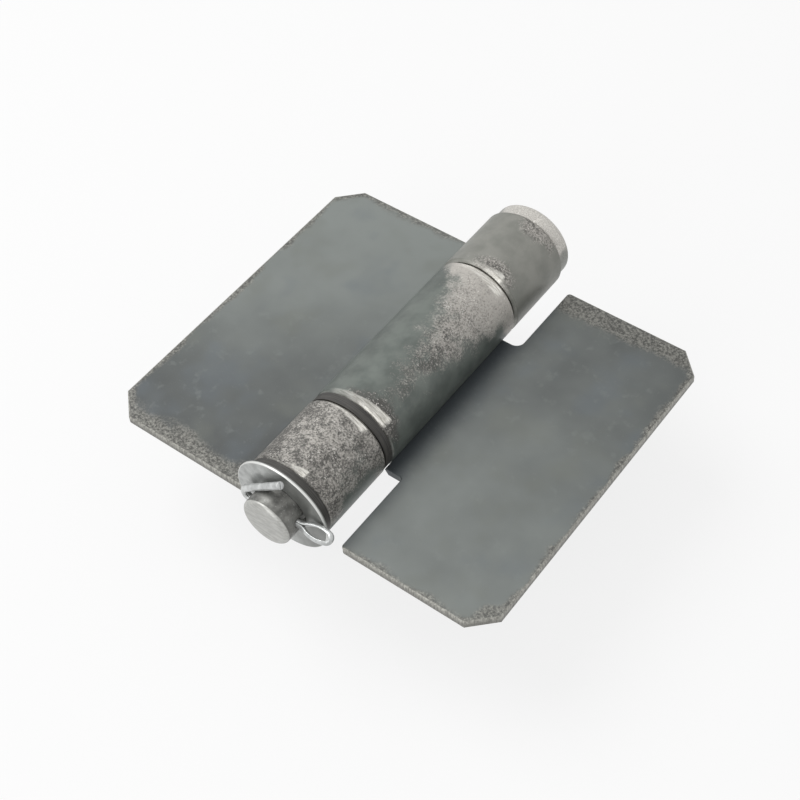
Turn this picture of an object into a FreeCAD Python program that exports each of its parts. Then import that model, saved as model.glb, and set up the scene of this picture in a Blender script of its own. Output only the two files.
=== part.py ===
import FreeCAD
import Part

import math
import os

from FreeCAD import Vector

# A weld-on barrel hinge, 4 in long and open flat. Millimetres, +Z up.
# X runs across the leaves, Y along the pin from its free tip to its head.
# The origin is under the middle of the hinge, at the lowest point of the flat washer.

# Leaves: sheared plates whose top faces lie below the pin's axis.
leaf_length = 101.6
leaf_reach = 60.2            # pin axis to outer edge
leaf_thickness = 2.4
leaf_drop = 4.8              # pin axis down to the top face
leaf_corner_cut = 6.35       # 45 degree cut on each outer corner
leaf_inner_edge = 17.0       # pin axis to the edge beside the other leaf's barrels
leaf_inner_corner_r = 1.0
leaf_edge_cut = 0.3          # the sheared outline's broken upper edge

# Barrels: three lengths of thick round tube on one axis.
barrel_d = 25.4
bore_clearance = 0.05        # radial, around the pin
barrel_edge_cut = 0.8
end_barrel_length = 22.4
front_barrel_inset = 2.4     # leaf front edge back to the front barrel
rear_barrel_overhang = 3.3   # leaf rear edge back to the rear barrel's end

# The tab that carries the middle barrel, and the notch that clears it.
rear_notch_length = 24.2     # leaf rear edge forward to the tab
tab_clearance = 0.4          # front barrel to the tab
tab_front_r = 1.0
tab_rear_r = 2.5
notch_margin = 0.8           # the left leaf's notch past the end barrels' inner faces

# Gaps along the pin.
washer_play = 0.1
rear_play = 0.5
head_play = 0.1

# Washers.
thrust_washer_d = 25.0
thrust_washer_thickness = 2.5
thrust_washer_clearance = 0.2
flat_washer_d = 28.2
flat_washer_thickness = 0.9
flat_washer_clearance = 0.4

# Hinge pin.
pin_d = 14.3
pin_tip_cut = 0.7
pin_past_cotter = 4.5        # cotter hole's centre to the tip
head_d = 23.8
head_thickness = 4.9
head_edge_cut = 1.0

# Cotter pin: half-round wire folded into a long eye, its two legs bent back over the pin.
cotter_wire_r = 1.0
cotter_leg_gap = 0.1
cotter_hole_clearance = 0.15
cotter_tilt = 8.0            # the eye's rise above the leaves, in degrees
cotter_roll = 30.0           # the turn about its own legs, the eye's washer side upwards
cotter_neck = 1.1            # pin surface to where the eye opens
eye_flare_r = 3.0
eye_flare_angle = 25.0
eye_side_r = 10.0
eye_end_r = 0.9
eye_washer_gap = 0.1
leg_bend_start = 0.25        # pin surface to the bend
leg_bend_r = 2.2
leg_press = 0.0746           # the tails' bite into the pin, as they spring on it
leg_tail_length = 16.4

# Welds under the leaves: a groove along each tab's lower edge, filled by a bead.
groove_width = 2.0
groove_depth = 1.6
bead_rise = 0.5              # the bead's crown below the leaf's underside

# Places that follow from the sizes above.
barrel_r = barrel_d / 2
pin_r = pin_d / 2
bore_r = pin_r + bore_clearance
axis_z = flat_washer_d / 2
leaf_top_z = axis_z - leaf_drop
leaf_bottom_z = leaf_top_z - leaf_thickness

# Distances along the pin, first counted from the leaves' front edge.
front_barrel_start = front_barrel_inset
front_barrel_end = front_barrel_start + end_barrel_length
middle_barrel_start = front_barrel_end + thrust_washer_thickness + washer_play
rear_barrel_end = leaf_length + rear_barrel_overhang
rear_barrel_start = rear_barrel_end - end_barrel_length
middle_barrel_end = rear_barrel_start - rear_play
head_start = rear_barrel_end + head_play
head_end = head_start + head_thickness
front_washer_start = front_barrel_start - thrust_washer_thickness
flat_washer_end = front_washer_start - washer_play
flat_washer_start = flat_washer_end - flat_washer_thickness

# The right leaf's tab and the left leaf's notch.
tab_start = front_barrel_end + tab_clearance
tab_end = leaf_length - rear_notch_length
notch_start = front_barrel_end - notch_margin
notch_end = rear_barrel_start + notch_margin

# The eye's widest half, from its flare, its long sides and the wire round it.
flare_rise = cotter_leg_gap / 2 + eye_flare_r * (1 - math.cos(math.radians(eye_flare_angle)))
eye_side_centre = flare_rise - eye_side_r * math.cos(math.radians(eye_flare_angle))
eye_flat_rise = eye_side_centre + eye_side_r
eye_half_width = eye_flat_rise * math.cos(math.radians(cotter_roll)) + cotter_wire_r
cotter_y = flat_washer_start - eye_washer_gap - eye_half_width
pin_tip = cotter_y - pin_past_cotter

# The legs bend until their tails bear on the pin.
tail_distance = pin_r + cotter_wire_r - leg_press
bend_offset = pin_r + leg_bend_start
tail_slope = math.asin((tail_distance - leg_bend_r) / math.hypot(bend_offset, leg_bend_r))
tail_slope -= math.atan2(leg_bend_r, bend_offset)
leg_bend_angle = 180 - math.degrees(tail_slope)

# Everything is moved along Y so that the whole length is centred on the origin.
front_edge_y = -(pin_tip + head_end) / 2
along_y = Vector(0, 1, 0)


def on_axis(distance):
    """The point of the pin's axis at a distance behind the leaves' front edge."""
    return Vector(0, front_edge_y + distance, axis_z)


def disc(radius, start, end):
    """A round bar about the pin's axis."""
    return Part.makeCylinder(radius, end - start, on_axis(start), along_y)


def ring_edges(solid, radius, *places):
    """The circular edges of one radius at the given places along the pin."""
    found = []
    for edge in solid.Edges:
        curve = edge.Curve
        if not isinstance(curve, Part.Circle) or abs(curve.Radius - radius) > 1e-6:
            continue
        if any(abs(curve.Center.y - on_axis(place).y) < 1e-6 for place in places):
            found.append(edge)
    return found


def tube(outer_r, inner_r, start, end):
    return disc(outer_r, start, end).cut(disc(inner_r, start, end))


def barrel(start, end):
    """A thick tube, its outer edges broken at both ends."""
    solid = tube(barrel_r, bore_r, start, end)
    return solid.makeChamfer(barrel_edge_cut, ring_edges(solid, barrel_r, start, end))


def plate(corners):
    """A plate of leaf thickness. Each corner is (x, distance, radius)."""
    count = len(corners)
    points = [Vector(x, front_edge_y + y, leaf_bottom_z) for x, y, _ in corners]
    edges = []
    starts = []
    ends = []
    for index, (_, _, radius) in enumerate(corners):
        here = points[index]
        back = (points[index - 1] - here).normalize()
        ahead = (points[(index + 1) % count] - here).normalize()
        if radius == 0:
            starts.append(here)
            ends.append(here)
            continue
        half_angle = back.getAngle(ahead) / 2
        setback = radius / math.tan(half_angle)
        middle = (back + ahead).normalize() * (radius / math.sin(half_angle) - radius)
        starts.append(here + back * setback)
        ends.append(here + ahead * setback)
        edges.append(Part.Arc(starts[-1], here + middle, ends[-1]).toShape())
    for index in range(count):
        edges.append(Part.LineSegment(ends[index], starts[(index + 1) % count]).toShape())
    outline = Part.Wire(Part.__sortEdges__(edges))
    solid = Part.Face(outline).extrude(Vector(0, 0, leaf_thickness))
    upper = [edge for edge in solid.Edges if edge.BoundBox.ZMin > leaf_top_z - leaf_edge_cut]
    return solid.makeChamfer(leaf_edge_cut, upper)


def barrel_side(drop):
    """How far the barrels' surface stands out at a depth below the pin's axis."""
    return math.sqrt(barrel_r ** 2 - drop ** 2)


def groove_points(side, start):
    """The groove's root on the barrel, its lip on the leaf and its foot on the barrel."""
    y = front_edge_y + start
    underside = leaf_drop + leaf_thickness
    foot = Vector(side * barrel_side(underside), y, leaf_bottom_z)
    root = Vector(side * barrel_side(underside - groove_depth), y, leaf_bottom_z + groove_depth)
    lip = foot + Vector(side * groove_width, 0, 0)
    return root, lip, foot


def join_to_barrel(leaf, side, start, end):
    """Cuts a tab back to the round of its barrel, and grooves its lower edge for the weld."""
    root, lip, _ = groove_points(side, start)
    below = Vector(0, 0, -leaf_thickness)
    inside = Vector(0, root.y, root.z)
    corners = [root, lip, lip + below, inside + below - Vector(0, 0, groove_depth), inside, root]
    wedge = Part.Face(Part.makePolygon(corners))
    wedge = wedge.extrude(along_y * (end - start))
    return leaf.cut(disc(barrel_r, start, end)).cut(wedge)


def right_leaf():
    """The plate with one tab, notched at both ends beside the end barrels."""
    blank = plate([
        (leaf_inner_edge, 0, leaf_inner_corner_r),
        (leaf_reach - leaf_corner_cut, 0, 0),
        (leaf_reach, leaf_corner_cut, 0),
        (leaf_reach, leaf_length - leaf_corner_cut, 0),
        (leaf_reach - leaf_corner_cut, leaf_length, 0),
        (leaf_inner_edge, leaf_length, leaf_inner_corner_r),
        (leaf_inner_edge, tab_end, tab_rear_r),
        (0, tab_end, 0),
        (0, tab_start, 0),
        (leaf_inner_edge, tab_start, tab_front_r),
    ])
    return join_to_barrel(blank, 1, tab_start, tab_end)


def left_leaf():
    """The plate with two tabs, notched between them around the middle barrel."""
    blank = plate([
        (0, 0, 0),
        (0, notch_start, 0),
        (-leaf_inner_edge, notch_start, tab_front_r),
        (-leaf_inner_edge, notch_end, tab_rear_r),
        (0, notch_end, 0),
        (0, leaf_length, 0),
        (-leaf_reach + leaf_corner_cut, leaf_length, 0),
        (-leaf_reach, leaf_length - leaf_corner_cut, 0),
        (-leaf_reach, leaf_corner_cut, 0),
        (-leaf_reach + leaf_corner_cut, 0, 0),
    ])
    blank = join_to_barrel(blank, -1, 0, notch_start)
    return join_to_barrel(blank, -1, notch_end, leaf_length)


def weld_bead(side, start, end):
    """The bead that fills the groove, slightly crowned below. side is 1 or -1."""
    root, lip, foot = groove_points(side, start)
    crown = (lip + foot) / 2 - Vector(0, 0, bead_rise)
    section = Part.Wire([
        Part.LineSegment(root, lip).toShape(),
        Part.Arc(lip, crown, foot).toShape(),
        Part.LineSegment(foot, root).toShape(),
    ])
    bead = Part.Face(section).extrude(along_y * (end - start))
    return bead.cut(disc(barrel_r, start, end))


def thrust_washer(start):
    hole_r = pin_r + thrust_washer_clearance
    return tube(thrust_washer_d / 2, hole_r, start, start + thrust_washer_thickness)


def flat_washer():
    return tube(flat_washer_d / 2, pin_r + flat_washer_clearance, flat_washer_start, flat_washer_end)


def tilt_cotter(shape):
    """Turns a shape from the flat about the pin's axis, to the cotter pin's tilt."""
    shape.rotate(on_axis(cotter_y), along_y, -cotter_tilt)
    return shape


def roll_cotter(shape):
    """Turns a shape about the cotter pin's own legs, by its roll."""
    shape.rotate(on_axis(cotter_y), Vector(1, 0, 0), cotter_roll)
    return shape


def hinge_pin():
    """A round pin with a button head and a cross hole for the cotter pin."""
    head = disc(head_d / 2, head_start, head_end)
    head = head.makeChamfer(head_edge_cut, ring_edges(head, head_d / 2, head_end))
    shank = disc(pin_r, pin_tip, head_start)
    shank = shank.makeChamfer(pin_tip_cut, ring_edges(shank, pin_r, pin_tip))
    hole_r = cotter_wire_r + cotter_leg_gap / 2 + cotter_hole_clearance
    start = on_axis(cotter_y) - Vector(pin_d, 0, 0)
    hole = tilt_cotter(Part.makeCylinder(hole_r, 2 * pin_d, start, Vector(1, 0, 0)))
    return shank.fuse(head).removeSplitter().cut(hole)


def swing(face, centre, axis, degrees):
    """The solid that a section sweeps round an axis, and the section where it ends."""
    solid = face.revolve(centre, axis, degrees)
    moved = face.copy()
    moved.rotate(centre, axis, degrees)
    return solid, moved


def push(face, step):
    """The solid that a section sweeps in a straight line, and the section where it ends."""
    solid = face.extrude(step)
    moved = face.copy()
    moved.translate(step)
    return solid, moved


def cotter_half(side):
    """One leg, its tail and half of the eye. side is 1 behind the split and -1 before it."""
    hub = on_axis(cotter_y)
    flat_y = side * cotter_leg_gap / 2
    across = Vector(0, 0, cotter_wire_r)
    up = Vector(0, 0, side)

    root = hub + Vector(-pin_r - leg_bend_start, flat_y, 0)
    crown = root + Vector(0, side * cotter_wire_r, 0)
    rim = Part.Arc(root + across, crown, root - across).toShape()
    section = Part.Face(Part.Wire([rim, Part.LineSegment(root - across, root + across).toShape()]))

    rolled = roll_cotter(section.copy())
    bend_centre = hub + Vector(-pin_r - leg_bend_start, 0, leg_bend_r)
    bend, bent = swing(rolled, bend_centre, along_y, leg_bend_angle)
    turned = math.radians(180 - leg_bend_angle)
    tail, _ = push(bent, Vector(math.cos(turned), 0, math.sin(turned)) * leg_tail_length)

    leg_length = 2 * pin_r + leg_bend_start + cotter_neck
    leg, mouth = push(section, Vector(leg_length, 0, 0))
    flare_start = root + Vector(leg_length, 0, 0)
    flare_centre = flare_start + Vector(0, side * eye_flare_r, 0)
    flare, opened = swing(mouth, flare_centre, up, eye_flare_angle)

    angle = math.radians(eye_flare_angle)
    side_x = flare_start.x + (eye_flare_r + eye_side_r) * math.sin(angle)
    side_centre = Vector(side_x, hub.y + side * eye_side_centre, hub.z)
    tip_turn = math.degrees(math.acos(-eye_side_centre / (eye_side_r - eye_end_r)))
    long_side, closing = swing(opened, side_centre, up, -eye_flare_angle - tip_turn)

    tip_x = side_x + (eye_side_r - eye_end_r) * math.sin(math.radians(tip_turn))
    tip_centre = Vector(tip_x, hub.y, hub.z)
    tip, _ = swing(closing, tip_centre, up, tip_turn - 90)
    return [bend, tail] + [roll_cotter(piece) for piece in (leg, flare, long_side, tip)]


def cotter_pin():
    pieces = cotter_half(1) + cotter_half(-1)
    return tilt_cotter(pieces[0].multiFuse(pieces[1:]).removeSplitter())


def sub_parts():
    front_bead_start = front_barrel_start + barrel_edge_cut
    middle_bead_start = middle_barrel_start + barrel_edge_cut
    return {
        "left_leaf": left_leaf(),
        "front_barrel": barrel(front_barrel_start, front_barrel_end),
        "rear_barrel": barrel(rear_barrel_start, rear_barrel_end),
        "front_weld": weld_bead(-1, front_bead_start, notch_start),
        "rear_weld": weld_bead(-1, notch_end, leaf_length),
        "right_leaf": right_leaf(),
        "middle_barrel": barrel(middle_barrel_start, middle_barrel_end),
        "middle_weld": weld_bead(1, middle_bead_start, tab_end),
        "hinge_pin": hinge_pin(),
        "front_thrust_washer": thrust_washer(front_washer_start),
        "middle_thrust_washer": thrust_washer(front_barrel_end),
        "flat_washer": flat_washer(),
        "cotter_pin": cotter_pin(),
    }


os.makedirs("parts", exist_ok=True)
for name, shape in sub_parts().items():
    shape.exportStep("parts/" + name + ".step")
    box = shape.BoundBox
    print(name, len(shape.Solids), shape.isValid(), round(shape.Volume, 1),
          [round(v, 2) for v in (box.XMin, box.XMax, box.YMin, box.YMax, box.ZMin, box.ZMax)])
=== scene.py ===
import math

import bpy
from mathutils import Matrix, Vector


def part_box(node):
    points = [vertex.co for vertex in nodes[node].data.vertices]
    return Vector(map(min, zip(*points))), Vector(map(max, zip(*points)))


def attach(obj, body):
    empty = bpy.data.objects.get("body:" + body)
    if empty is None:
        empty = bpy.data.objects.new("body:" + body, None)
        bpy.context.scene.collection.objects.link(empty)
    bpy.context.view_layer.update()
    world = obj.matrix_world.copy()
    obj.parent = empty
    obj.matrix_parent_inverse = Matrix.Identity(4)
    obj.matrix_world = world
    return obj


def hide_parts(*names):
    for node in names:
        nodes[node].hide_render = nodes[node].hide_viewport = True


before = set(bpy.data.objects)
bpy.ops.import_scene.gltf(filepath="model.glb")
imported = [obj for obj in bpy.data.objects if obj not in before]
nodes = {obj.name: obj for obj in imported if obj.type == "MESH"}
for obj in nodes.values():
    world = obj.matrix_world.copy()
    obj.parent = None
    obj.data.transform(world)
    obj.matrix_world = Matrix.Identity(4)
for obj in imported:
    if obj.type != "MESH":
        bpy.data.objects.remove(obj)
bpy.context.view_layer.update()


# Left leaf: a plate sheared from hot rolled sheet, notched to clear the middle barrel.
# The blue-grey mill scale is still on it. Along the shear cuts it has flaked to brownish
# bare steel, and the cut edges themselves are bright.
METRE = 1000.0               # sizes and places here are in millimetres
MIX_FIRST, MIX_SECOND, MIX_COLOUR = 6, 7, 2    # a Mix node's sockets for colours


class Surface:
    """A socket of a material's nodes. Adding or multiplying it adds a Math node."""

    def __init__(self, socket):
        self.socket = socket

    def node(self, kind, settings=None, inputs=None, output=0):
        made = self.socket.id_data.nodes.new("ShaderNode" + kind)
        for name, value in (settings or {}).items():
            setattr(made, name, value)
        for name, value in (inputs or {}).items():
            if isinstance(value, Surface):
                made.id_data.links.new(value.socket, made.inputs[name])
            else:
                made.inputs[name].default_value = value
        return Surface(made.outputs[output])

    def math(self, operation, first, second=0.0):
        return self.node("Math", {"operation": operation}, {0: first, 1: second})

    def __add__(self, other):
        return self.math("ADD", self, other)

    def __sub__(self, other):
        return self.math("SUBTRACT", self, other)

    def __rsub__(self, other):
        return self.math("SUBTRACT", other, self)

    def __mul__(self, other):
        return self.math("MULTIPLY", self, other)

    def __truediv__(self, other):
        return self.math("DIVIDE", self, other)

    __radd__ = __add__
    __rmul__ = __mul__

    def least(self, *others):
        smallest = self
        for other in others:
            smallest = self.math("MINIMUM", smallest, other)
        return smallest

    def most(self, *others):
        largest = self
        for other in others:
            largest = self.math("MAXIMUM", largest, other)
        return largest

    def magnitude(self):
        return self.math("ABSOLUTE", self)

    def rise(self, low, high):
        """0 below low, 1 above high, smooth between them."""
        return self.node("MapRange", {"interpolation_type": "SMOOTHSTEP"},
                         {"Value": self, "From Min": low, "From Max": high})

    def grain(self, size, detail=3.0, rough=0.55, stretch=(1.0, 1.0, 1.0)):
        """Noise on a place, with lumps of that size, stretched along X, Y and Z."""
        scale = tuple(1.0 / (size * s) for s in stretch)
        shrunk = self.node("VectorMath", {"operation": "MULTIPLY"}, {0: self, 1: scale})
        return shrunk.node("TexNoise", {"noise_dimensions": "3D"}, {
            "Vector": shrunk, "Scale": 1.0, "Detail": detail, "Roughness": rough})

    def between(self, first, second, share=1.0):
        """A colour from first to second, by a share of this value."""
        amount = self if share == 1.0 else self * share
        return self.node("Mix", {"data_type": "RGBA"},
                         {0: amount, MIX_FIRST: first, MIX_SECOND: second}, MIX_COLOUR)


def shade(*levels):
    """A colour of 0 to 255 as Blender's linear light."""
    linear = [((level / 255 + 0.055) / 1.055) ** 2.4 for level in levels]
    return (*linear, 1.0)


def new_finish(name):
    """A material, its place on the piece and its shader."""
    finish = bpy.data.materials.new(name)
    finish.use_nodes = True
    tree = finish.node_tree
    shader = tree.nodes["Principled BSDF"]
    place = Surface(tree.nodes.new("ShaderNodeTexCoord").outputs["Object"])
    place = place.node("VectorMath", {"operation": "SCALE"}, {0: place, "Scale": METRE})
    return finish, place, shader


def axes(place):
    """The X, Y and Z of a place."""
    return [place.node("SeparateXYZ", {}, {0: place}, k) for k in range(3)]


def set_finish(shader, colour, rough, metal, height, depth):
    """Joins colour, roughness and metal share to a shader, and a height of so many millimetres."""
    links = shader.id_data.links
    for name, value in (("Base Color", colour), ("Roughness", rough), ("Metallic", metal)):
        if isinstance(value, Surface):
            links.new(value.socket, shader.inputs[name])
        else:
            shader.inputs[name].default_value = value
    bump = height.node("Bump", {}, {"Height": height, "Distance": depth / METRE, "Strength": 1.0})
    links.new(bump.socket, shader.inputs["Normal"])


def dress(node, finish):
    """Gives a CAD node another finish."""
    for held in nodes[node].material_slots:
        held.material = finish


def extent(node, axis):
    """The first and last place of a CAD node along an axis."""
    low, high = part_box(node)
    return getattr(low, axis) * METRE, getattr(high, axis) * METRE


LEAF_FRONT, LEAF_REAR = extent("left_leaf", "y")
LEAF_REACH = extent("right_leaf", "x")[1]
LEAF_TOP = extent("left_leaf", "z")[1]
BARREL_FOOT, BARREL_CROWN = extent("front_barrel", "z")
AXIS_Z = (BARREL_FOOT + BARREL_CROWN) / 2
BARREL_R = (BARREL_CROWN - BARREL_FOOT) / 2
CORNER_CUT = 6.35
INNER_EDGE = 17.0            # from the pin's axis to the notch's inner edge
NOTCH_MARGIN = 0.8           # the notch runs on past the end barrels' inner faces by this
AWAY_FROM_NOTCH = 50.0
EDGE_WEAR = 0.42             # how far a cut edge's brightness reaches onto the leaf
SHEARED_DEPTH = 0.9          # below this the cut is torn and darker
END_SWAY, OUTER_SWAY, CORNER_SWAY = 9.0, 6.0, 7.0    # how far the bare borders wander
CORNER_EXTRA = 1.5           # how much wider they are at a cut corner
SHADE_REACH = 9.0            # how far from the barrel the painted shade reaches onto the leaf

SCALE_DARK, SCALE_LIGHT = shade(68, 71, 71), shade(128, 133, 130)
SCALE_BROWN, SCALE_BLUE = shade(106, 109, 101), shade(94, 102, 109)
SMUDGE, FLECK = shade(122, 127, 124), shade(136, 141, 138)
# painted shade that the barrel casts onto the leaf beside it
PAINTED_BARREL_SHADE = shade(64, 69, 73)
BARE_DARK, BARE_LIGHT, BARE_BRIGHT = shade(74, 73, 70), shade(134, 133, 127), shade(170, 169, 162)
CUT_DARK, CUT_LIGHT, CUT_TORN = shade(124, 123, 118), shade(176, 175, 168), shade(98, 96, 93)


def mill_scale(name, front_border, rear_border, outer_border, rearward, rightward, barrel_shade,
               notch=None):
    """Hot rolled plate with its scale. The borders are the widths that have flaked bare.
    rearward and rightward: how much lighter the scale is made over 100 mm that way.
    The argument before notch sets how dark the painted shade beside the barrel is. notch: where a
    notch starts and ends."""
    finish, place, shader = new_finish(name)
    x, y, z = axes(place)
    from_front, from_rear, from_outer = y - LEAF_FRONT, LEAF_REAR - y, LEAF_REACH - x.magnitude()
    from_corner = (from_front.least(from_rear) + from_outer - CORNER_CUT) * math.sqrt(0.5)
    from_outline = from_front.least(from_rear, from_outer, from_corner)
    from_any_cut = from_outline
    if notch:
        along_notch = (y - notch[0]).least(notch[1] - y).rise(-0.4, 0.4)
        from_notch = (x.magnitude() - INNER_EDGE) + (1 - along_notch) * AWAY_FROM_NOTCH
        from_any_cut = from_outline.least(from_notch)

    wander = place.grain(8.0, detail=4.0) - 0.5
    flaked = (front_border - from_front + wander * END_SWAY).rise(-3.0, 3.0).most(
        (rear_border - from_rear + wander * END_SWAY).rise(-3.0, 3.0),
        (outer_border - from_outer + wander * OUTER_SWAY).rise(-1.5, 1.5),
        (outer_border + CORNER_EXTRA - from_corner + wander * CORNER_SWAY).rise(-1.5, 2.0))

    clouds = place.grain(22.0)
    tint = place.grain(15.0, detail=2.0)
    smudges = place.grain(4.5, rough=0.6)
    flecks = place.grain(0.5, rough=0.7)
    # a straight gradient that makes the leaf lighter or darker across it
    slope = (y * rearward + x * rightward) / 100.0
    # painted shade: the leaf is made darker towards the barrel, where the barrel's shade falls on
    # it
    shade_by_barrel = (x.magnitude() - BARREL_R + wander * 4.0).rise(SHADE_REACH, 0.0)
    scale = (clouds * 0.6 + slope + 0.2).rise(0.0, 1.0).between(SCALE_DARK, SCALE_LIGHT)
    scale = tint.rise(0.52, 0.72).between(scale, SCALE_BROWN, share=0.3)
    scale = tint.rise(0.48, 0.28).between(scale, SCALE_BLUE, share=0.35)
    scale = smudges.rise(0.56, 0.72).between(scale, SMUDGE, share=0.3)
    scale = shade_by_barrel.between(scale, PAINTED_BARREL_SHADE, share=barrel_shade)
    scale = flecks.rise(0.62, 0.74).between(scale, FLECK, share=0.2)

    speckle = place.grain(0.6, detail=4.0, rough=0.7)
    near_cut = from_outline.rise(4.0, 1.0)
    bare = speckle.rise(0.38, 0.62).between(BARE_DARK, BARE_LIGHT)
    bare = (speckle.rise(0.58, 0.68) * near_cut).between(bare, BARE_BRIGHT, share=0.75)
    patch = (flaked + (speckle - 0.5) * 0.7).rise(0.25, 0.95) * flaked * 0.85
    colour = patch.between(scale, bare)

    nicked = from_any_cut + (place.grain(1.2) - 0.5) * 0.55
    worn = nicked.rise(EDGE_WEAR, EDGE_WEAR - 0.22)
    shear = place.grain(0.5, rough=0.6, stretch=(1.0, 1.0, 5.0))
    torn = (LEAF_TOP - SHEARED_DEPTH - z).rise(0.0, 0.5)
    cut = shear.rise(0.3, 0.7).between(CUT_DARK, CUT_LIGHT)
    cut = torn.between(cut, CUT_TORN, share=0.45)
    colour = worn.between(colour, cut)

    rough = (patch * 0.12 + 0.4) + (flecks - 0.5) * 0.12
    metal = patch.most(worn) * 0.4 + 0.25
    height = (1 - patch) * 0.35 + speckle * patch * 0.6 + flecks * 0.1 + shear * worn * 0.3
    set_finish(shader, colour, rough, metal, height, depth=0.05)
    return finish


dress("left_leaf", mill_scale(
    "mill_scale_left", front_border=5.5, rear_border=2.8, outer_border=1.6,
    rearward=0.88, rightward=-0.22, barrel_shade=0.0,
    notch=(extent("front_barrel", "y")[1] - NOTCH_MARGIN,
           extent("rear_barrel", "y")[0] + NOTCH_MARGIN)))


# End barrels: two lengths of thick drawn tube, sawn off and welded along the left leaf's tabs.
# Their skin is rubbed and pitted, and a belt grinder has left bright flats round their cut ends.
DEGREES = math.degrees(1.0)
SOFT_RUB = 30.0              # degrees over which the rubbed side fades into the smooth scale
RUB_SWAY = 85.0              # degrees that its limits wander
RUB_AT_ENDS = 30.0           # degrees by which it is wider beside the tube's ends
FLAT_SWAY = 16.0             # degrees that the ends of a ground flat wander
EDGE_GRIND = 0.75            # how far the ground edge reaches along the tube

GREEN_SCALE = (shade(92, 98, 94), shade(112, 118, 113))
BROWN_SCALE = (shade(124, 125, 119), shade(140, 140, 134))
RUB_DARK, RUB_LIGHT, RUB_PALE = shade(80, 78, 75), shade(176, 172, 166), shade(200, 195, 188)
SPECK, SCUFF = shade(222, 219, 213), shade(204, 201, 194)
GROUND_DARK, GROUND_LIGHT = shade(172, 169, 160), shade(240, 238, 231)


def tube_skin(name, node, seed, rubbed, widening, paler, tones, flats):
    """Angles run from the tube's lowest line, -90, over the right side, 0, and the top, 90, to 270.
    rubbed: first and last angle of the rubbed side, which widens by so much towards the rear.
    paler: what the rub adds at the front and the rear end. tones: the smooth scale's two shades.
    flats: what the grinder has left, each from its thin end's angle to its broad end's."""
    finish, place, shader = new_finish(name)
    x, y, z = axes(place)
    start, stop = extent(node, "y")
    from_end = (y - start).least(stop - y)
    along_tube = (y - start) / (stop - start)
    angle = 90.0 - place.math("ARCTAN2", x, z - AXIS_Z) * DEGREES
    shift = {0: place, 1: (seed, seed * 2.0, 0.0)}
    shifted = place.node("VectorMath", {"operation": "ADD"}, shift)

    clouds = shifted.grain(5.0, detail=5.0, rough=0.65) - 0.5
    around = angle + clouds * RUB_SWAY
    spread = from_end.rise(7.0, 2.5) * RUB_AT_ENDS + along_tube * along_tube * widening
    worn = (around + spread).rise(rubbed[0] - SOFT_RUB, rubbed[0] + SOFT_RUB)
    worn = worn * (around - spread).rise(rubbed[1] + SOFT_RUB, rubbed[1] - SOFT_RUB)
    below = (AXIS_Z - z).rise(BARREL_R * 0.5, BARREL_R * 0.9) * clouds.rise(-0.05, 0.15)
    worn = worn.most(below * 0.8)

    pits = shifted.grain(0.5, detail=4.0, rough=0.65)
    blotch = shifted.grain(2.4, rough=0.6) - 0.5
    broad = shifted.grain(9.0, detail=2.0) - 0.5
    gain = along_tube * (paler[1] - paler[0]) + paler[0]
    specks = shifted.grain(0.42, detail=2.0, rough=0.5).rise(0.57, 0.67)
    specks = specks * shifted.grain(3.5).rise(0.42, 0.62)
    scuffs = shifted.grain(0.45, detail=2.0, rough=0.5, stretch=(6.0, 0.8, 6.0))
    scuffs = scuffs.rise(0.6, 0.7) * (blotch + broad).rise(0.0, 0.2)
    skin = (pits + blotch * 0.45 + broad * 0.3 + gain * 0.5).rise(0.36, 0.68)
    skin = skin.between(RUB_DARK, RUB_LIGHT)
    skin = gain.rise(0.0, 0.6).between(skin, RUB_PALE, share=0.75)
    skin = specks.between(skin, SPECK, share=0.8)
    skin = scuffs.between(skin, SCUFF, share=0.5)

    scale = shifted.grain(6.0).rise(0.3, 0.7).between(*tones)
    speckled = (worn + (pits - 0.5) * 1.3).rise(0.2, 0.85) * worn
    colour = speckled.between(scale, skin, share=0.92)

    streak = shifted.grain(0.35, rough=0.6, stretch=(7.0, 1.0, 7.0))
    wobble = shifted.grain(3.5) - 0.5
    ground = from_end.rise(EDGE_GRIND, EDGE_GRIND - 0.25) * (wobble + 0.5).rise(0.3, 0.8) * 0.35
    for flat in flats:
        inwards = (y - start) if flat["end"] == "front" else (stop - y)
        thin, broad_end = flat["thin"], flat["broad"]
        along = (angle + wobble * FLAT_SWAY - thin) / (broad_end - thin)
        reach = (along * 0.6 + 0.4) * flat["width"]
        band = (reach - inwards + wobble * 1.6).rise(-0.2, 0.25)
        within = along.rise(-0.05, 0.15) * along.rise(1.08, 0.96)
        pressed = along * along.least(1.0) * 0.75 + 0.25
        ground = ground.most(band * within * (pressed * flat["bright"]))
    bright = streak.rise(0.3, 0.62).between(GROUND_DARK, GROUND_LIGHT)
    colour = ground.between(colour, bright)

    rough = 0.5 - ground * 0.16 - (1 - worn) * 0.05 + (pits - 0.5) * 0.15
    metal = ground * 0.25 + 0.45
    height = (pits + specks * 0.4) * speckled * (1 - ground)
    height = height + (1 - ground) * 0.6 + streak * ground * 0.3
    set_finish(shader, colour, rough, metal, height, depth=0.06)
    return finish


dress("front_barrel", tube_skin(
    "tube_front", "front_barrel", seed=3.0, rubbed=(12.0, 175.0), widening=0.0,
    paler=(0.0, 0.0), tones=GREEN_SCALE, flats=[
        dict(end="front", width=2.4, thin=94.0, broad=66.0, bright=0.95),
        dict(end="rear", width=2.6, thin=114.0, broad=54.0, bright=1.0),
        dict(end="front", width=1.8, thin=-30.0, broad=-75.0, bright=0.8),
        dict(end="rear", width=2.4, thin=262.0, broad=220.0, bright=0.8)]))
dress("rear_barrel", tube_skin(
    "tube_rear", "rear_barrel", seed=41.0, rubbed=(66.0, 70.0), widening=0.0,
    paler=(0.0, 0.0), tones=BROWN_SCALE, flats=[
        dict(end="front", width=2.4, thin=98.0, broad=56.0, bright=0.85),
        dict(end="front", width=2.0, thin=215.0, broad=250.0, bright=0.8),
        dict(end="rear", width=1.6, thin=-70.0, broad=-20.0, bright=0.8)]))
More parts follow.
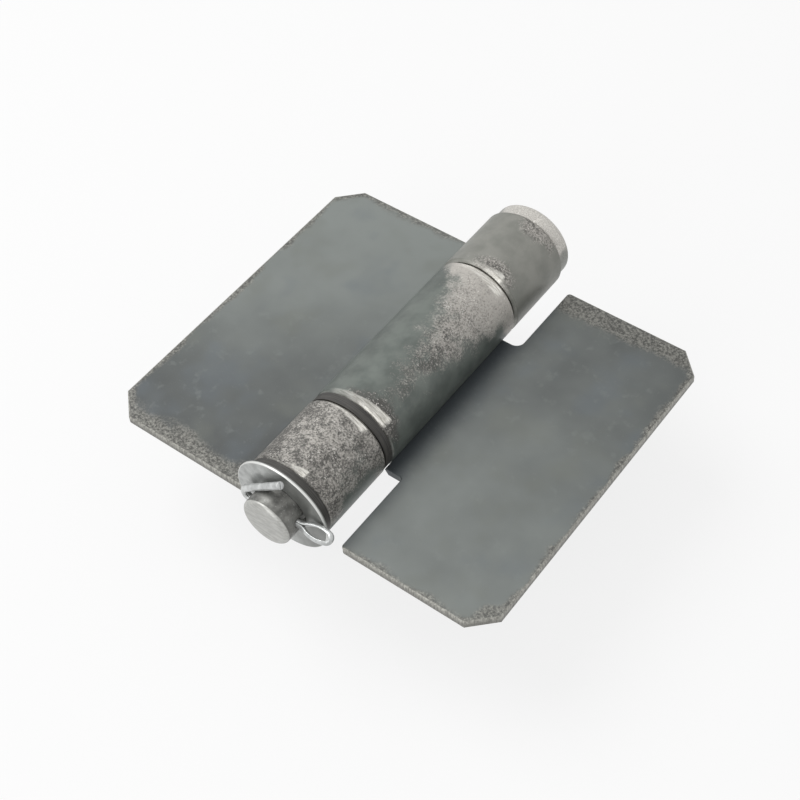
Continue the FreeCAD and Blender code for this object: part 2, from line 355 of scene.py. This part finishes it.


# Right leaf: the same plate turned round, with one long tab for the middle barrel.
# Its rear end has lost the most scale, and it has painted shade beside the barrel.
dress("right_leaf", mill_scale(
    "mill_scale_right", front_border=1.5, rear_border=7.5, outer_border=1.6,
    rearward=-0.28, rightward=0.0, barrel_shade=1.0))


# Middle barrel: the longest length of tube, welded to the right leaf's tab.
# Much of its upper side still has smooth scale, and both its ends are ground.
dress("middle_barrel", tube_skin(
    "tube_middle", "middle_barrel", seed=17.0, rubbed=(44.0, 66.0), widening=48.0,
    paler=(-0.32, 0.34), tones=GREEN_SCALE, flats=[
        dict(end="front", width=3.4, thin=124.0, broad=42.0, bright=1.0),
        dict(end="rear", width=3.4, thin=118.0, broad=47.0, bright=0.95),
        dict(end="front", width=2.2, thin=-45.0, broad=-80.0, bright=0.8),
        dict(end="rear", width=2.8, thin=255.0, broad=220.0, bright=0.8)]))


# Welds: one bead along each tab's lower edge, run in short overlapping puddles that froze
# as ripples. They fill the grooves between tab and tube, almost flush with the leaf's underside.
BEAD_GREY = (shade(120, 118, 116), shade(168, 165, 160))
STRAW_HEAT, BLUE_HEAT = shade(150, 128, 98), shade(92, 102, 122)


def weld_metal():
    finish, place, shader = new_finish("weld_metal")
    heat = place.grain(3.0, detail=2.0)
    colour = heat.rise(0.35, 0.6).between(*BEAD_GREY)
    colour = heat.rise(0.58, 0.7).between(colour, STRAW_HEAT, share=0.6)
    colour = heat.rise(0.42, 0.3).between(colour, BLUE_HEAT, share=0.6)
    ripple = place.grain(0.5, rough=0.6, stretch=(3.0, 1.0, 3.0))
    set_finish(shader, colour, heat * 0.2 + 0.28, 0.8, ripple, depth=0.03)
    return finish


BEAD_WIDTH = 2.4
BEAD_HEIGHT = 1.5
PUDDLE_LENGTH = 3.4
PUDDLE_STEP = 1.15
PUDDLE_LEAN = math.radians(24.0)
PUDDLE_SEGMENTS, PUDDLE_RINGS = 32, 20
BEAD_INSET = 0.1             # the ripples stop this far inside the CAD bead's ends
BEAD_VOXEL = 0.14


def apply_modifiers(piece):
    for modifier in list(piece.modifiers):
        bpy.ops.object.modifier_apply(modifier=modifier.name)


def weld_bead(name, node, body, finish):
    """Overlapping puddles along a CAD bead, leaning on one another and melted together."""
    low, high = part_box(node)
    across = (low.x + high.x) / 2
    length = (high.y - low.y) * METRE - 2 * BEAD_INSET
    lean_sin, lean_cos = math.sin(PUDDLE_LEAN), math.cos(PUDDLE_LEAN)
    half = math.hypot(PUDDLE_LENGTH / 2 * lean_cos, BEAD_HEIGHT / 2 * lean_sin)
    crown = math.hypot(BEAD_HEIGHT / 2 * lean_cos, PUDDLE_LENGTH / 2 * lean_sin)
    count = int((length - 2 * half) / PUDDLE_STEP) + 1
    step = (length - 2 * half) / (count - 1)
    bpy.ops.object.select_all(action="DESELECT")
    bpy.ops.mesh.primitive_uv_sphere_add(
        segments=PUDDLE_SEGMENTS, ring_count=PUDDLE_RINGS, radius=0.5 / METRE,
        location=(across, low.y + (BEAD_INSET + half) / METRE, low.z + crown / METRE),
        rotation=(PUDDLE_LEAN, 0.0, 0.0),
        scale=(BEAD_WIDTH, PUDDLE_LENGTH, BEAD_HEIGHT))
    bead = bpy.context.object
    bead.name = name
    bpy.ops.object.transform_apply(location=True, rotation=True, scale=True)
    run = bead.modifiers.new("run", "ARRAY")
    run.use_relative_offset = False
    run.use_constant_offset = True
    run.constant_offset_displace = (0.0, step / METRE, 0.0)
    run.count = count
    melt = bead.modifiers.new("melt", "REMESH")
    melt.mode = "VOXEL"
    melt.voxel_size = BEAD_VOXEL / METRE
    melt.use_smooth_shade = True
    apply_modifiers(bead)
    bead.data.materials.append(finish)
    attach(bead, body)
    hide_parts(node)


bead_metal = weld_metal()
weld_bead("front_bead", "front_weld", "left_leaf", bead_metal)
weld_bead("rear_bead", "rear_weld", "left_leaf", bead_metal)
weld_bead("middle_bead", "middle_weld", "right_leaf", bead_metal)


# Thrust washers: two rings turned from dark plastic bar that keep the steel ends apart.
# Their rims keep the fine lines of the lathe, and grease has browned them.
RING_DARK, RING_LIGHT, RING_GREASE = shade(40, 39, 37), shade(72, 70, 66), shade(46, 43, 39)


def thrust_ring():
    finish, place, shader = new_finish("thrust_ring")
    turned = place.grain(0.22, detail=2.0, rough=0.5, stretch=(40.0, 1.0, 40.0))
    grime = place.grain(2.5)
    colour = turned.rise(0.35, 0.65).between(RING_DARK, RING_LIGHT)
    colour = grime.rise(0.5, 0.7).between(colour, RING_GREASE, share=0.5)
    set_finish(shader, colour, grime * 0.2 + 0.4, 0.0, turned, depth=0.05)
    return finish


ring_finish = thrust_ring()
for ring in ("front_thrust_washer", "middle_thrust_washer"):
    dress(ring, ring_finish)


# Hinge pin: zinc plated bar with an upset head, drilled through near its tip. The tip is faced
# square and has painted light on it, the shank has dulled, and the head is lighter over its upper
# side than below and on its end face.
ZINC_BRIGHT, ZINC_DARK = shade(232, 234, 233), shade(112, 113, 112)


def zinc(name, dull, light, grain_size):
    """Zinc plating: its material, place, shader, colour and fine grain."""
    finish, place, shader = new_finish(name)
    cloud = place.grain(2.6)
    fine = place.grain(grain_size, rough=0.6)
    colour = cloud.rise(0.3, 0.7).between(dull, light)
    colour = fine.rise(0.6, 0.76).between(colour, ZINC_BRIGHT, share=0.4)
    colour = fine.rise(0.36, 0.22).between(colour, ZINC_DARK, share=0.4)
    return finish, place, shader, colour, fine


MERGE_DISTANCE = 1e-7        # in metres
FLAT_WITHIN = math.radians(0.4)
SMOOTH_WITHIN = math.radians(34.0)


def clean_copy(node, name):
    """A copy of a CAD node, its doubles merged and its flat faces whole, left open in edit mode."""
    bpy.ops.object.select_all(action="DESELECT")
    piece = bpy.data.objects.new(name, nodes[node].data.copy())
    bpy.context.collection.objects.link(piece)
    piece.select_set(True)
    bpy.context.view_layer.objects.active = piece
    bpy.ops.object.mode_set(mode="EDIT")
    bpy.ops.mesh.select_all(action="SELECT")
    bpy.ops.mesh.remove_doubles(threshold=MERGE_DISTANCE)
    bpy.ops.mesh.dissolve_limited(angle_limit=FLAT_WITHIN)
    bpy.ops.mesh.select_all(action="DESELECT")
    bpy.ops.mesh.select_mode(type="EDGE")
    return piece


def round_edges(piece, sharper_than, wanted, width, segments):
    """Rounds a copy's edges that are sharper than an angle, where wanted says so of their middle,
    and goes back to object mode."""
    bpy.ops.mesh.edges_select_sharp(sharpness=math.radians(sharper_than))
    bpy.ops.object.mode_set(mode="OBJECT")
    places = [v.co * METRE for v in piece.data.vertices]
    for edge in piece.data.edges:
        first, last = edge.vertices
        if edge.select and not wanted((places[first] + places[last]) / 2):
            edge.select = False
    bpy.ops.object.mode_set(mode="EDIT")
    bpy.ops.mesh.bevel(offset=width / METRE, segments=segments, clamp_overlap=True)
    bpy.ops.object.mode_set(mode="OBJECT")
    bpy.ops.object.shade_smooth_by_angle(angle=SMOOTH_WITHIN)


def plated(piece, finish, body, node):
    piece.data.materials.clear()
    piece.data.materials.append(finish)
    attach(piece, body)
    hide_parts(node)


PIN_TIP, PIN_HEAD_END = extent("hinge_pin", "y")
HEAD_START = extent("rear_barrel", "y")[1]
END_FACES = 1.0              # edges this near to the tip, or this far into the head, are rounded
TIP_LIGHT_REACH = 0.9              # how far the painted light on the tip reaches along the pin
HEAD_FACE = 0.6              # the head's own end face is as deep as this
LIGHTER_FROM, LIGHTEST_FROM = 4.5, 8.0    # heights over the axis where the head starts to get lighter and where it is lightest

SHANK = (shade(92, 92, 89), shade(134, 134, 130))
# painted light on the faced tip, where it faces the front lamp
TIP_PAINTED_LIGHT = (shade(166, 166, 162), shade(190, 190, 186))
HEAD_LIGHTER_TONES = (shade(176, 173, 167), shade(214, 211, 205))
HEAD_DARKER_TONES = (shade(122, 123, 118), shade(146, 147, 141))


def pin_plating():
    finish, place, shader, colour, fine = zinc("zinc_pin", *SHANK, grain_size=0.5)
    x, y, z = axes(place)
    facing = place.grain(0.5, rough=0.6, stretch=(5.0, 1.0, 1.0))
    # painted light: the faced tip is made lighter than the shank
    tip_lit = facing.rise(0.3, 0.7).between(*TIP_PAINTED_LIGHT)
    colour = (PIN_TIP + TIP_LIGHT_REACH - y).rise(-0.2, 0.1).between(colour, tip_lit)
    pitted = place.grain(0.34, detail=4.0, rough=0.65)
    head_lighter = pitted.rise(0.35, 0.65).between(*HEAD_LIGHTER_TONES)
    head_darker = pitted.rise(0.3, 0.7).between(*HEAD_DARKER_TONES)
    wobble = place.grain(4.0) - 0.5
    # the head is made lighter over its upper side and darker below it and on its end face
    lighter_above = (z - AXIS_Z + x * 0.25 + wobble * 9.0).rise(LIGHTER_FROM, LIGHTEST_FROM)
    head = lighter_above.between(head_darker, head_lighter)
    head = (y - PIN_HEAD_END + HEAD_FACE).rise(0.0, 0.3).between(head, head_darker, share=0.6)
    colour = (y - HEAD_START).rise(-0.1, 0.1).between(colour, head)
    set_finish(shader, colour, pitted * 0.2 + 0.3, 0.5, fine + facing * 0.5, depth=0.02)
    return finish


def at_pin_ends(at):
    return at.y < PIN_TIP + END_FACES or at.y > HEAD_START + END_FACES


pin = clean_copy("hinge_pin", "plated_pin")
round_edges(pin, sharper_than=30.0, wanted=at_pin_ends, width=0.3, segments=3)
plated(pin, pin_plating(), "pin", "hinge_pin")


# Flat washer: a stamped and zinc plated ring between the cotter pin and the first thrust washer.
# Its rim is slightly rolled by the punch and has a painted highlight, and its face has painted
# shade towards the right.
WASHER_FRONT = extent("flat_washer", "y")[0]
WASHER_FOOT, WASHER_CROWN = extent("flat_washer", "z")
WASHER_R = (WASHER_CROWN - WASHER_FOOT) / 2
# the painted highlight covers this much of the rim, in from its edge and back from the front face
RIM_WIDTH = 0.35
RIM_DEPTH = 0.6

WASHER_FACE = (shade(156, 158, 156), shade(184, 186, 184))
# painted shade for the washer's right and upper side, and a painted highlight for its rim
WASHER_PAINTED_SHADE, RIM_HIGHLIGHT, WASHER_BACK = shade(112, 113, 109), shade(220, 221, 218), shade(128, 129, 126)


def washer_plating():
    finish, place, shader, colour, fine = zinc("zinc_washer", *WASHER_FACE, grain_size=0.8)
    x, y, z = axes(place)
    height = z - AXIS_Z
    from_axis = place.math("SQRT", x * x + height * height)
    # painted shade: the face is made darker towards its right and upper side
    painted_shade_side = (x + height * 0.3 + (place.grain(5.0) - 0.5) * 9.0).rise(-3.0, 7.0)
    colour = painted_shade_side.between(colour, WASHER_PAINTED_SHADE, share=0.75)
    # painted highlight round the front of the rim
    rim_highlight = from_axis.rise(WASHER_R - RIM_WIDTH, WASHER_R - 0.1)
    rim_highlight = rim_highlight * (WASHER_FRONT + RIM_DEPTH - y).rise(-0.1, 0.2)
    colour = rim_highlight.between(colour, RIM_HIGHLIGHT)
    colour = (y - WASHER_FRONT).rise(0.5, 0.65).between(colour, WASHER_BACK)
    set_finish(shader, colour, fine * 0.2 + 0.28, 0.6, fine, depth=0.02)
    return finish


def anywhere(at):
    return True


washer = clean_copy("flat_washer", "plated_washer")
round_edges(washer, sharper_than=60.0, wanted=anywhere, width=0.2, segments=3)
plated(washer, washer_plating(), "pin", "flat_washer")


# Cotter pin: half-round zinc plated wire folded into an eye and pushed through the pin,
# with its two legs bent back over the pin to lock it.
WIRE = (shade(176, 178, 177), shade(212, 214, 213))


def wire_plating():
    finish, place, shader, colour, fine = zinc("zinc_wire", *WIRE, grain_size=0.35)
    set_finish(shader, colour, fine * 0.2 + 0.26, 0.7, fine, depth=0.02)
    return finish


cotter = clean_copy("cotter_pin", "plated_cotter")
round_edges(cotter, sharper_than=45.0, wanted=anywhere, width=0.14, segments=2)
plated(cotter, wire_plating(), "pin", "cotter_pin")


# Studio: a white floor that keeps the shadow, low enough for the right leaf to hang down when
# it is folded, a soft lamp high on the left and a weaker one in front. The camera looks down
# from the right, with the pin's free end nearest to it.
FLOOR_Z = -0.03              # in metres, as all of the studio
FLOOR_SIZE = 6.0
FLOOR_GREY = (0.86, 0.86, 0.86, 1.0)
FLOOR_GLOW = 0.8             # how much of the floor that the camera sees is plain white
SKY_LIGHT = 0.5
WHITE = (1.0, 1.0, 1.0, 1.0)


def seen_directly(tree):
    """1 where the camera sees a surface, also in metal or through glass, and 0 for its light."""
    path = tree.nodes.new("ShaderNodeLightPath").outputs
    seen = Surface(path["Is Camera Ray"])
    return seen.most(Surface(path["Is Glossy Ray"]), Surface(path["Is Transmission Ray"]))


def floor_white():
    finish = bpy.data.materials.new("studio_floor")
    finish.use_nodes = True
    tree = finish.node_tree
    shader = tree.nodes["Principled BSDF"]
    shader.inputs["Base Color"].default_value = FLOOR_GREY
    shader.inputs["Roughness"].default_value = 0.9
    glow = tree.nodes.new("ShaderNodeEmission")
    glow.inputs["Color"].default_value = WHITE
    glow.inputs["Strength"].default_value = 1.0
    joined = tree.nodes.new("ShaderNodeMixShader")
    tree.links.new((seen_directly(tree) * FLOOR_GLOW).socket, joined.inputs[0])
    tree.links.new(shader.outputs[0], joined.inputs[1])
    tree.links.new(glow.outputs[0], joined.inputs[2])
    tree.links.new(joined.outputs[0], tree.nodes["Material Output"].inputs["Surface"])
    return finish


bpy.ops.object.select_all(action="DESELECT")
bpy.ops.mesh.primitive_plane_add(size=FLOOR_SIZE, location=(0.0, 0.0, FLOOR_Z))
floor = bpy.context.object
floor.name = "studio_floor"
floor.data.materials.append(floor_white())

world = bpy.data.worlds.new("studio")
bpy.context.scene.world = world
world.use_nodes = True
sky = world.node_tree.nodes["Background"]
sky.inputs["Color"].default_value = WHITE
sky_strength = seen_directly(world.node_tree) * (1.0 - SKY_LIGHT) + SKY_LIGHT
world.node_tree.links.new(sky_strength.socket, sky.inputs["Strength"])


def soft_lamp(name, place, width, power):
    """A round lamp that shines on the hinge."""
    bpy.ops.object.light_add(type="AREA", location=place)
    lamp = bpy.context.object
    lamp.name = name
    lamp.data.shape = "DISK"
    lamp.data.size = width
    lamp.data.energy = power
    lamp.rotation_euler = Vector(place).to_track_quat("Z", "Y").to_euler()


soft_lamp("lamp_left", (-0.45, -0.1, 0.8), width=0.7, power=4.4)
soft_lamp("lamp_front", (0.1, -0.9, 0.5), width=0.5, power=2.0)

CAMERA_PLACE = (0.16741, -0.20104, 0.32724)
TURN, RISE, ROLL = math.radians(40.41), math.radians(51.16), math.radians(-4.53)
SENSOR_WIDTH = 36.0
LENS = 70.23

bpy.ops.object.camera_add(location=CAMERA_PLACE)
camera = bpy.context.object
camera.name = "camera"
back = Vector((math.sin(TURN) * math.cos(RISE), -math.cos(TURN) * math.cos(RISE), math.sin(RISE)))
right = Vector((math.cos(TURN), math.sin(TURN), 0.0))
up = back.cross(right)
camera.rotation_euler = Matrix((
    right * math.cos(ROLL) + up * math.sin(ROLL),
    up * math.cos(ROLL) - right * math.sin(ROLL),
    back,
)).transposed().to_euler()
camera.data.sensor_width = SENSOR_WIDTH
camera.data.lens = LENS
bpy.context.scene.camera = camera
bpy.context.scene.view_settings.view_transform = "Standard"
